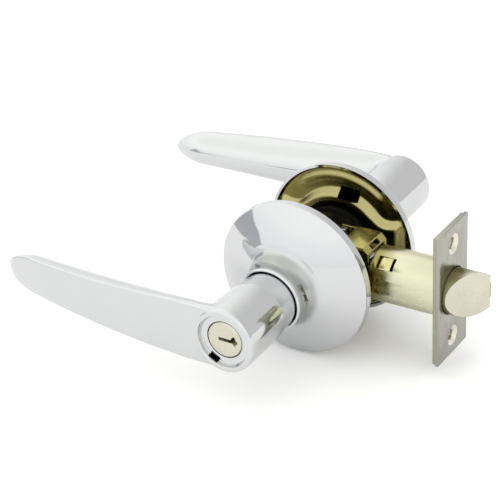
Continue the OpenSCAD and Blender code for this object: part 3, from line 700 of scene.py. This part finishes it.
PLATE_BASE = high("mounting_plate").y - 1.2 * MM
PLATE_RAISE = PLATE_BASE - low("mounting_plate").y
PLATE_R = high("mounting_plate").x
PLATE_HOLE_R = 10.7 * MM
PLATE_SHEET = 1.15 * MM
PLATE_RINGS = 72
PLATE_SPOKES = 288
PLATE_ANGLE = 40
BOSS_EDGE = (23.4 * MM, 19.0 * MM)
ARM_SIDE = (15.0 * MM, 10.8 * MM)
ARM_END = (30.0 * MM, 25.4 * MM)
WAIST = 1.6 * MM
WAIST_X = 22 * MM
WAIST_HALF = 6 * MM
RIB_R = 27.5 * MM
RIB_SIDE = (3.2 * MM, 0.3 * MM)
RIB_END = (46, 36)
RIB_HEIGHT = 1.4 * MM
CUT_START = PLATE_BASE - 5 * MM
CUT_END = PLATE_BASE + 3 * MM
SLOT_X = (0.0, 9 * MM)
SLOT_Z = (18.6 * MM, 23.6 * MM)
SCREW_HOLE_R = 1.5 * MM
SCREW_HOLE_Z = 13.2 * MM
SCREW_HOLE_STEPS = 32


def fade(value, ramp):
    """0 where value is at ramp[0], 1 at ramp[1], smooth between them."""
    start, end = ramp
    t = np.clip((value - start) / (end - start), 0, 1)
    return t * t * (3 - 2 * t)


def plate_height(x, z):
    """How far the sheet is pressed out towards the door, in a boss, two waisted arms and a rib at the top."""
    r = np.hypot(x, z)
    boss = fade(r, BOSS_EDGE)
    waist = WAIST * np.cos(np.clip((np.abs(x) - WAIST_X) / WAIST_HALF, -1, 1) * math.pi / 2)
    arms = fade(np.abs(z) + waist, ARM_SIDE) * fade(np.abs(x), ARM_END)
    off_top = np.degrees(np.abs(np.arctan2(x, z)))
    rib = fade(np.abs(r - RIB_R), RIB_SIDE) * fade(off_top, RIB_END)
    both = boss + arms - boss * arms
    return np.maximum(PLATE_RAISE * both, RIB_HEIGHT * rib)


def pressed_plate(name):
    """A round sheet with a hole, as two layers of points joined at both edges."""
    radii = np.linspace(PLATE_HOLE_R, PLATE_R, PLATE_RINGS)
    turns = np.linspace(0, 2 * math.pi, PLATE_SPOKES, endpoint=False)
    r, a = np.meshgrid(radii, turns, indexing="ij")
    x = r * np.cos(a)
    z = r * np.sin(a)
    front = PLATE_BASE - plate_height(x, z)
    layers = [np.stack([x, y, z], axis=-1).reshape(-1, 3) for y in (front, front + PLATE_SHEET)]
    count = PLATE_RINGS * PLATE_SPOKES
    faces = []
    for i in range(PLATE_RINGS):
        for j in range(PLATE_SPOKES):
            a0 = i * PLATE_SPOKES + j
            a1 = i * PLATE_SPOKES + (j + 1) % PLATE_SPOKES
            if i + 1 < PLATE_RINGS:
                b0 = a0 + PLATE_SPOKES
                b1 = a1 + PLATE_SPOKES
                faces.append((a0, a1, b1, b0))
                faces.append((a0 + count, b0 + count, b1 + count, a1 + count))
            if i == 0:
                faces.append((a0, a0 + count, a1 + count, a1))
            if i == PLATE_RINGS - 1:
                faces.append((a0, a1, a1 + count, a0 + count))
    obj = new_object(name, np.concatenate(layers), faces)
    clean(obj)
    return obj


def build_plates():
    inside = pressed_plate("plate_inside")
    slot = block("slot", (SLOT_X[0], CUT_START, SLOT_Z[0]), (SLOT_X[1], CUT_END, SLOT_Z[1]))
    boolean(inside, slot)
    for side in (-1, 1):
        drill(inside, SCREW_HOLE_R, CUT_START, CUT_END, SCREW_HOLE_STEPS, (0, 0, side * SCREW_HOLE_Z))
    outside = pressed_plate("plate_outside")
    mirror_y(outside)
    finish_piece(inside, "chassis", "mounting_plate", "zinc_yellow", PLATE_ANGLE)
    finish_piece(outside, "chassis", "outside_rose_plate", "zinc_yellow", PLATE_ANGLE)


# ---------------------------------------------------------------- springs

COIL_STEPS = 28
COIL_SIDES = 10
COIL_ANGLE = 50
X_AXIS = 0
Y_AXIS = 1
# node, body, axis, coil radius, wire radius, turns, joint that shortens it, length kept at the joint's limit
SPRINGS = (
    ("retractor_spring", "chassis", X_AXIS, 1.5 * MM, 0.3 * MM, 12, "retractor_slide", 0.488),
    ("bolt_spring", "chassis", X_AXIS, 4.8 * MM, 0.45 * MM, 14, "latch_bolt_slide", 0.552),
    ("plunger_spring", "latch_bolt", X_AXIS, 1.0 * MM, 0.22 * MM, 7, "deadlatch_slide", 0.309),
    ("clutch_spring", "outside_lever", Y_AXIS, 4.9 * MM, 0.35 * MM, 7, "clutch_slide", 0.692),
)


def coil(name, start, end, radius, wire, turns):
    """A round-wire coil between two points on one axis."""
    along = (end - start).normalized()
    side = along.orthogonal().normalized()
    other = along.cross(side)
    length = (end - start).length - 2 * wire
    rings = []
    total = int(turns * COIL_STEPS)
    for i in range(total + 1):
        a = 2 * math.pi * i / COIL_STEPS
        out = side * math.cos(a) + other * math.sin(a)
        centre = start + along * (wire + length * i / total) + out * radius
        rings.append([
            centre + (out * math.cos(b) + along * math.sin(b)) * wire
            for b in (2 * math.pi * j / COIL_SIDES for j in range(COIL_SIDES))
        ])
    return loft(name, rings)


def build_springs():
    """Coils that fill their CAD springs' lengths."""
    for node, body, axis, radius, wire, turns, joint, keep in SPRINGS:
        lo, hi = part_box(node)
        middle = (lo + hi) / 2
        start, end = middle.copy(), middle.copy()
        start[axis] = lo[axis]
        end[axis] = hi[axis]
        spring = coil("coil_" + node.removesuffix("_spring"), start, end, radius, wire, turns)
        finish_piece(spring, body, node, "spring_steel", COIL_ANGLE)
        direction = Vector((0, 0, 0))
        direction[axis] = 1
        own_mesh(spring)


# ---------------------------------------------------------------- carried-over CAD nodes

CAD_WELD = 2e-6
CAD_BEVEL = 0.12 * MM
CAD_ANGLE = 35


def bevel_cad_nodes():
    """Welds each CAD mesh, softens its edges and gives it its slot's material."""
    slots = {part["node"]: part["material_slot"] for part in frame["record"]["subparts"]}
    for name, obj in frame["nodes"].items():
        if obj.hide_render:
            continue
        obj.data.materials.clear()
        obj.data.materials.append(MATERIALS[slots[name]])
        weld = obj.modifiers.new("weld", "WELD")
        weld.merge_threshold = CAD_WELD
        bevel = obj.modifiers.new("bevel", "BEVEL")
        bevel.width = CAD_BEVEL
        bevel.segments = 2
        bevel.limit_method = "ANGLE"
        bevel.angle_limit = math.radians(CAD_ANGLE)
        bevel.use_clamp_overlap = True
        smooth(obj, CAD_ANGLE)


# ---------------------------------------------------------------- studio

FRAME_PX = 500
SENSOR = 36.0
CAMERA_AZIMUTH = 32.92
CAMERA_ELEVATION = 28.90
CAMERA_ROLL = -2.92
CAMERA_LENS_PX = 1750
CAMERA_SHIFT = (28.24 * MM, -2.51 * MM)
CAMERA_DISTANCE = 712.6 * MM
CAMERA_CLIP = 10 * MM

SKY_LOW = (0.90, 0.90, 0.90)
SKY_HIGH = (1.20, 1.20, 1.17)
SKY_BANDS = (
    (0.50, (1.12, 1.12, 1.13)),
    (0.60, (1.18, 1.18, 1.18)),
    (0.70, (1.27, 1.27, 1.25)),
    (0.84, (1.34, 1.34, 1.30)),
)
SKY_BEHIND = (0.78, 0.78, 0.76)
BEHIND_LEAN = 0.5
BEHIND_EDGE = (0.3, 0.85)

LIGHTS = (
    ("key", (-0.6, -0.5, 1.3), 1.8, 1.6),
    ("fill", (1.2, -0.9, 0.8), 1.4, 0.8),
)

FLOOR_REACH = 40
FLOOR_GAP = 0.5 * MM
FLOOR_COLOUR = (0.93, 0.93, 0.93)
FLOOR_ROUGH = 0.9
SHADOW_LIFT = 0.12

FLAG_X = -200 * MM
FLAG_CORNERS = ((-18, -4), (-85, 78), (-112, 60), (-166, 46), (-202, 18), (-163, -6), (-112, 0))
FLAG_COLOUR = (0.50, 0.50, 0.54)


def build_camera():
    """The camera looks at the spindle from the outside and above; its shift sets the object in the frame."""
    azimuth, elevation, roll = (math.radians(v) for v in (CAMERA_AZIMUTH, CAMERA_ELEVATION, CAMERA_ROLL))
    back = Vector((math.sin(azimuth) * math.cos(elevation), -math.cos(azimuth) * math.cos(elevation),
                   math.sin(elevation)))
    right = Vector((math.cos(azimuth), math.sin(azimuth), 0))
    up = back.cross(right)
    x_axis = math.cos(roll) * right + math.sin(roll) * up
    y_axis = -math.sin(roll) * right + math.cos(roll) * up
    place = -CAMERA_SHIFT[0] * x_axis - CAMERA_SHIFT[1] * y_axis + CAMERA_DISTANCE * back
    data = bpy.data.cameras.new("camera")
    data.sensor_width = SENSOR
    data.lens = CAMERA_LENS_PX * SENSOR / FRAME_PX
    data.clip_start = CAMERA_CLIP
    camera = bpy.data.objects.new("camera", data)
    turn = Matrix((x_axis, y_axis, back)).transposed().to_4x4()
    camera.matrix_world = Matrix.Translation(place) @ turn
    bpy.context.scene.collection.objects.link(camera)
    bpy.context.scene.camera = camera


def build_light(name, place, size, power):
    """A square area light that faces the object and shows in no reflection."""
    data = bpy.data.lights.new(name, "AREA")
    data.size = size
    data.energy = power
    light = bpy.data.objects.new(name, data)
    light.location = place
    light.rotation_euler = (-Vector(place)).to_track_quat("-Z", "Y").to_euler()
    light.visible_glossy = False
    bpy.context.scene.collection.objects.link(light)


def build_world():
    """A pale sky, lightest high up and greyer behind the object, so that polished metal shows its form."""
    world = bpy.data.worlds.new("studio")
    bpy.context.scene.world = world
    world.use_nodes = True
    tree = world.node_tree
    coords = tree.nodes.new("ShaderNodeTexCoord")
    direction = split_of(tree, coords.outputs["Generated"])
    bands = tree.nodes.new("ShaderNodeValToRGB")
    tree.links.new(range_of(tree, direction["Z"], -1, 1), bands.inputs["Fac"])
    bands.color_ramp.interpolation = "EASE"
    elements = bands.color_ramp.elements
    elements[0].color = (*SKY_LOW, 1)
    elements[1].color = (*SKY_HIGH, 1)
    for position, colour in SKY_BANDS:
        elements.new(position).color = (*colour, 1)
    to_right = math_of(tree, "MULTIPLY", direction["X"], BEHIND_LEAN)
    behind = ramp_of(tree, math_of(tree, "ADD", direction["Y"], to_right), BEHIND_EDGE)
    sky = tone_over(tree, bands.outputs["Color"], SKY_BEHIND, behind)
    tree.links.new(sky, tree.nodes["Background"].inputs["Color"])


def floor_material():
    """Pale and matt; a faint glow that only the camera sees keeps the shadow soft."""
    mat = bpy.data.materials.new("pale_floor")
    mat.use_nodes = True
    tree = mat.node_tree
    shader = tree.nodes["Principled BSDF"]
    shader.inputs["Base Color"].default_value = (*FLOOR_COLOUR, 1)
    shader.inputs["Roughness"].default_value = FLOOR_ROUGH
    shader.inputs["Emission Color"].default_value = (1, 1, 1, 1)
    path = tree.nodes.new("ShaderNodeLightPath")
    glow = math_of(tree, "MULTIPLY", path.outputs["Is Camera Ray"], SHADOW_LIFT)
    tree.links.new(glow, shader.inputs["Emission Strength"])
    return mat


def build_floor():
    """A pale floor that runs on to the horizon, so reflections have no hard edge between floor and sky."""
    corners = [(x * FLOOR_REACH, y * FLOOR_REACH, 0) for x, y in ((-1, -1), (1, -1), (1, 1), (-1, 1))]
    floor = new_object("floor", corners, [(0, 1, 2, 3)])
    floor.location.z = cad_box[0][2] - FLOOR_GAP
    floor.data.materials.append(floor_material())


def build_flag():
    """A grey card beside the lever's tip, seen only in reflections: it draws a dark wedge on the rose."""
    corners = [(FLAG_X, y * MM, z * MM) for y, z in FLAG_CORNERS]
    flag = new_object("flag", corners, [tuple(range(len(corners)))])
    mat = bpy.data.materials.new("grey_card")
    mat.use_nodes = True
    mat.node_tree.nodes["Principled BSDF"].inputs["Base Color"].default_value = (*FLAG_COLOUR, 1)
    flag.data.materials.append(mat)
    flag.visible_camera = False
    flag.visible_diffuse = False
    flag.visible_shadow = False


def build_studio():
    build_world()
    build_floor()
    build_flag()
    for light in LIGHTS:
        build_light(*light)
    bpy.context.scene.view_settings.view_transform = "Standard"


# ---------------------------------------------------------------- assembly

build_levers()
build_roses()
build_plates()
build_springs()
bevel_cad_nodes()
build_camera()
build_studio()
